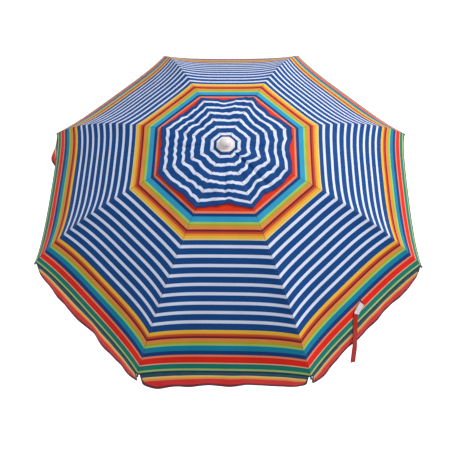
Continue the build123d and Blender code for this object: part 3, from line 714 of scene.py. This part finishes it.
def cap_surface(arc, side, n):
    """The middle of the loose vent cap's cloth, in the frame of panel n, creased between its seams."""
    radius = DOME_RADIUS * np.sin(arc / DOME_RADIUS)
    across = radius * SIN_HALF * side
    angle = n * STEP + np.arctan2(across, radius * COS_HALF)
    grow = np.clip((arc - CAP_CALM_ARC) / CAP_GROW_LENGTH, 0, 1) ** 1.1
    slack = 0.6 * (1 - np.abs(side)) + 0.4 * (1 - side**2)
    drawn = CAP_SLACK[n - 1] * (arc / CAP_ARC) ** 2 * slack
    shift = CAP_WAVE * grow * cap_noise(angle, arc, around=2.6, outwards=9, start=3)
    ridges = 0.35 - np.abs(cap_noise(angle, arc, around=5.98, outwards=5, start=21))
    shift += CAP_RIDGE * grow * ridges
    lift = CAP_SWELL * grow * cap_noise(angle, arc, around=3.9, outwards=14, start=11)
    crimps = 0.3 - np.abs(cap_noise(angle, arc, around=7.8, outwards=16, start=5))
    lift += CAP_CRIMP * grow * crimps
    crease = CAP_CREASE * grow * bell(side, CAP_CREASE_WIDTH)
    turned = (angle - FOLD_ANGLE + math.pi) % math.tau - math.pi
    fold = bell(arc - FOLD_ARC, FOLD_LENGTH) * bell(turned, FOLD_WIDTH)
    shift -= FOLD_SHIFT * fold
    lift += FOLD_LIFT * fold * np.tanh(turned / FOLD_FLANK)
    edge = (arc / CAP_ARC) ** 3
    front = CAP_SAG * edge * np.clip(-np.sin(angle), 0, 1)
    spread = CAP_SPREAD * edge * np.where(np.sin(angle) < 0, -np.sin(angle), 0.5 * np.sin(angle))
    inward = shift - drawn + spread
    x = (radius + inward) * COS_HALF
    y = across + inward * SIN_HALF * side
    above = np.maximum(CAP_LIFT + lift - crease - front, CAP_OVER_CLOTH)
    z = DOME_CENTRE_Z + np.sqrt(DOME_RADIUS**2 - (radius + inward) ** 2) + above
    return np.stack([x, y, z], axis=-1)


def cap_sector(n, hand):
    side = np.linspace(-1, 0, CAP_COLUMNS) if hand == "left" else np.linspace(0, 1, CAP_COLUMNS)
    tape_start = CAP_ARC - CAP_EDGE_TAPE
    on_cloth = np.linspace(CAP_INNER_ARC, tape_start, CAP_ROWS)
    arcs = np.concatenate([on_cloth, [CAP_ARC - CAP_TAPE_MIDDLE, CAP_ARC]])
    arc, s = np.meshgrid(arcs, side, indexing="ij")
    middle = rotated(cap_surface(arc, s, n), n * STEP)
    thick = np.where(arc > tape_start - 1e-6, CAP_EDGE_THICK, CLOTH_THICK)[..., None]
    uv = np.stack([half_width(arc) * (1 - np.abs(s)), arc], axis=-1)
    piece = shell(f"vent_cap_{n}_{hand}", middle, uv, thick, [cap_outside, cap_inside])
    fold_with(piece, np.tile(1 - np.abs(side), len(arcs)))
    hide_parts("vent_cap")


CAP_MIDDLE_BELOW = 0.0004    # under the sectors that overlap it
FAR_FROM_SEAM = 0.05


def cap_middle():
    """The round piece of cap cloth that the finial clamps."""
    radii = np.linspace(CAP_HOLE_RADIUS, CAP_MIDDLE_RADIUS, 6)
    turn = np.linspace(0, math.tau, 49)
    r, angle = np.meshgrid(radii, turn, indexing="ij")
    z = np.full_like(r, APEX_Z + CAP_LIFT - CAP_MIDDLE_BELOW)
    middle = np.stack([r * np.cos(angle), r * np.sin(angle), z], axis=-1)
    uv = np.stack([np.full_like(r, FAR_FROM_SEAM), r], axis=-1)
    piece = shell("vent_cap_middle", middle, uv, CLOTH_THICK, [cap_outside, cap_inside])
    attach(piece, "top_pole")
    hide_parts("vent_cap")


for n in range(1, RIBS + 1):
    for hand in SIDES:
        panel_half(n, hand)
        flap_half(n, hand)
        cap_sector(n, hand)
cap_middle()


# ---- tie strap ----
def over_cloth(arc, y, lift=STRAP_LIFT):
    """A point over the strap's panel, at a distance y from the panel's middle."""
    side = y / half_width(arc)
    return Vector(panel_surface(np.array([arc]), np.array([side]), STRAP_PANEL, lift)[0])


def ribbon(name, centres, widths, width, thickness, material):
    """A flat band along a line of points, with its width along the given directions."""
    across = np.linspace(-0.5, 0.5, 5)
    line = np.array([list(c) for c in centres])
    out = np.array([list(w.normalized()) for w in widths[:len(centres)]])
    middle = line[:, None, :] + out[:, None, :] * (across * width)[None, :, None]
    step = np.linalg.norm(np.diff(line, axis=0), axis=1)
    along = np.concatenate([[0], np.cumsum(step)])
    length, cross = np.meshgrid(along, (across + 0.5) * width, indexing="ij")
    uv = np.stack([cross, length], axis=-1)
    piece = shell(name, rotated(middle, STRAP_PANEL * STEP), uv, thickness, [material])
    return piece, float(step.sum())


RIBBON_STEP = 0.007
CORNER_STEPS = 8


def rounded(corners, reaches, widths):
    """A line through corners, rounded at each inner one, and the direction of its width on the way."""
    centres, across = [corners[0]], [widths[0]]

    def run_to(point, width):
        start = centres[-1]
        count = max(1, round((point - start).length / RIBBON_STEP))
        for k in range(1, count + 1):
            centres.append(start.lerp(point, k / count))
            across.append(width)

    for k, reach in enumerate(reaches):
        at = corners[k + 1]
        enter = at + (corners[k] - at).normalized() * reach
        leave = at + (corners[k + 2] - at).normalized() * reach
        run_to(enter, widths[k])
        for step in range(1, CORNER_STEPS + 1):
            t = step / CORNER_STEPS
            centres.append(enter.lerp(at, t).lerp(at.lerp(leave, t), t))
            across.append(widths[k].lerp(widths[k + 1], t))
    run_to(corners[-1], widths[-1])
    return centres, across


bend_slope = STRAP_BEND_ARC / DOME_RADIUS
strap_up = Vector((math.sin(bend_slope), 0, COS_HALF * math.cos(bend_slope))).normalized()
strap_hang = Vector((math.sin(STRAP_LEAN), -math.sin(STRAP_SWAY), -math.cos(STRAP_LEAN)))
slot_at = over_cloth(STRAP_ARC, STRAP_SLOT_SIDE)
bend_at = over_cloth(STRAP_BEND_ARC, STRAP_BEND_SIDE)
rim_at = over_cloth(CLOTH_ARC + STRAP_PAST_RIM, STRAP_RIM_SIDE)
low_at = rim_at + strap_hang * STRAP_HANG * STRAP_LOW + Vector((STRAP_BOW, 0, 0))
end_at = rim_at + strap_hang * STRAP_HANG
on_cloth = [(bend_at - slot_at).cross(strap_up), (rim_at - bend_at).cross(strap_up)]
strap_centres, strap_widths = rounded(
    [slot_at, bend_at, rim_at, low_at, end_at],
    STRAP_ROUNDING,
    [direction.normalized() for direction in on_cloth + [Vector(twist) for twist in STRAP_TWISTS]],
)
strap, strap_length = ribbon(
    "strap", strap_centres, strap_widths, STRAP_WIDTH, STRAP_THICK, red_webbing,
)
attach(strap, "tie_strap")
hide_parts("tie_strap")
patch_line = [c for c in strap_centres if (c - slot_at).length < PATCH_LENGTH]
patch_centres = [c + strap_up * PATCH_LIFT for c in patch_line]
patch, _ = ribbon("strap_patch", patch_centres, strap_widths, PATCH_WIDTH, PATCH_THICK, white_tape)
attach(patch, "tie_strap")
# painted shadow: a thin dark strip over the cloth beside the strap stands in for the shade inside its
# slot
slit_arcs = [STRAP_ARC + k * SLIT_STEP for k in range(-3, 4)]
slit_line = [over_cloth(arc, STRAP_SLOT_SIDE + SLIT_SIDE, SLIT_LIFT) for arc in slit_arcs]
slit_widths = [Vector((0, 1, 0))] * len(slit_line)
slit, _ = ribbon("strap_slot_shadow", slit_line, slit_widths, SLIT_WIDTH, SLIT_THICK, slot_shadow_strip)
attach(slit, "tie_strap")


# ---- materials of the frame's own nodes ----
def finish_for(node):
    if node in ("lower_pole", "mid_pole", "top_pole"):
        return pole_paint
    if node in ("crown", "runner", "finial", "height_collar", "height_knob"):
        return white_plastic
    if node in ("ground_spike", "tilt_button", "runner_button"):
        return grey_plastic
    if node in ("tilt_base", "tilt_head"):
        return tilt_metal
    if node.endswith("spring"):
        return spring_steel
    if node.endswith("pins") or node == "tilt_pin":
        return pin_steel
    if node.startswith("rib_tip"):
        return green_plastic
    return rib_steel


for node, part in frame["nodes"].items():
    if not part.hide_render:
        part.data.materials.clear()
        part.data.materials.append(finish_for(node))


# ---- springs behind the two buttons ----
def pressed_spring(node, body):
    """A copy of a CAD spring with its own mesh, attached to a body in place of the hidden CAD spring."""
    spring = frame["nodes"][node].copy()
    spring.data = spring.data.copy()
    spring.name = f"{node}_coil"
    bpy.context.scene.collection.objects.link(spring)
    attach(spring, body)
    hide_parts(node)
    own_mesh(spring)


pressed_spring("runner_button_spring", "runner")
pressed_spring("tilt_button_spring", "top_pole")


# ---- floor, light and camera ----
FLOOR_REACH = 14.0
floor_mesh = bpy.data.meshes.new("floor")
floor_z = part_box("ground_spike")[0].z
corner_signs = ((-1, -1), (1, -1), (1, 1), (-1, 1))
floor_corners = [(east * FLOOR_REACH, north * FLOOR_REACH, floor_z) for east, north in corner_signs]
floor_mesh.from_pydata(floor_corners, [], [(0, 1, 2, 3)])
floor = bpy.data.objects.new("floor", floor_mesh)
bpy.context.scene.collection.objects.link(floor)
floor_paint = Nodes("floor")
floor_paint.set(Base_Color=(0.6, 0.6, 0.6, 1), Roughness=0.9)
floor_paint.set(Emission_Color=(1, 1, 1, 1), Emission_Strength=0.8)
floor_mesh.materials.append(floor_paint.material)

world = bpy.data.worlds.new("studio")
bpy.context.scene.world = world
world.use_nodes = True
sky = world.node_tree.nodes["Background"]
sky.inputs["Color"].default_value = (1, 1, 1, 1)
sky.inputs["Strength"].default_value = 0.5
bpy.context.scene.view_settings.view_transform = "Standard"

LIGHTS_AIM = Vector((0, 0, APEX_Z - 0.2))


def area_light(name, place, size, power, tint=(1, 1, 1)):
    lamp = bpy.data.lights.new(name, "AREA")
    lamp.size = size
    lamp.energy = power
    lamp.color = tint
    holder = bpy.data.objects.new(name, lamp)
    holder.location = place
    holder.rotation_mode = "QUATERNION"
    holder.rotation_quaternion = (LIGHTS_AIM - Vector(place)).to_track_quat("-Z", "Y")
    bpy.context.scene.collection.objects.link(holder)


area_light("key", (3.2, 2.0, 5.0), size=2.5, power=222)
area_light("fill", (-3.6, 0.6, 4.2), size=3.0, power=42, tint=(0.82, 0.93, 1.0))

CAMERA_ELEVATION = math.radians(61.94)
CAMERA_DISTANCE = 2.700
CAMERA_BELOW_APEX = 0.3258
CAMERA_OFFSET = (-0.0145, -0.1343)
CAMERA_ROLL = math.radians(1.42)
UMBRELLA_TURN = math.radians(-2.47)
UMBRELLA_TILT = math.radians(-0.84)
CAMERA_LENS = 52.62
CAMERA_SENSOR = 36

# The camera looks at an umbrella that leans and is turned a little, so it takes that lean itself.
camera = bpy.data.objects.new("camera", bpy.data.cameras.new("camera"))
back = Vector((0, -math.cos(CAMERA_ELEVATION), math.sin(CAMERA_ELEVATION)))
right = Vector((1, 0, 0))
up = back.cross(right)
eye = back * CAMERA_DISTANCE + right * CAMERA_OFFSET[0] + up * CAMERA_OFFSET[1]
rolled_right = right * math.cos(CAMERA_ROLL) - up * math.sin(CAMERA_ROLL)
rolled_up = right * math.sin(CAMERA_ROLL) + up * math.cos(CAMERA_ROLL)
pose = Matrix((rolled_right, rolled_up, back)).transposed().to_4x4()
pose.translation = eye
umbrella = Matrix.Rotation(UMBRELLA_TURN, 4, "Z") @ Matrix.Rotation(UMBRELLA_TILT, 4, "Y")
target = Matrix.Translation((0, 0, APEX_Z - CAMERA_BELOW_APEX))
camera.matrix_world = target @ umbrella.inverted() @ pose
camera.data.lens = CAMERA_LENS
camera.data.sensor_width = CAMERA_SENSOR
bpy.context.scene.collection.objects.link(camera)
bpy.context.scene.camera = camera
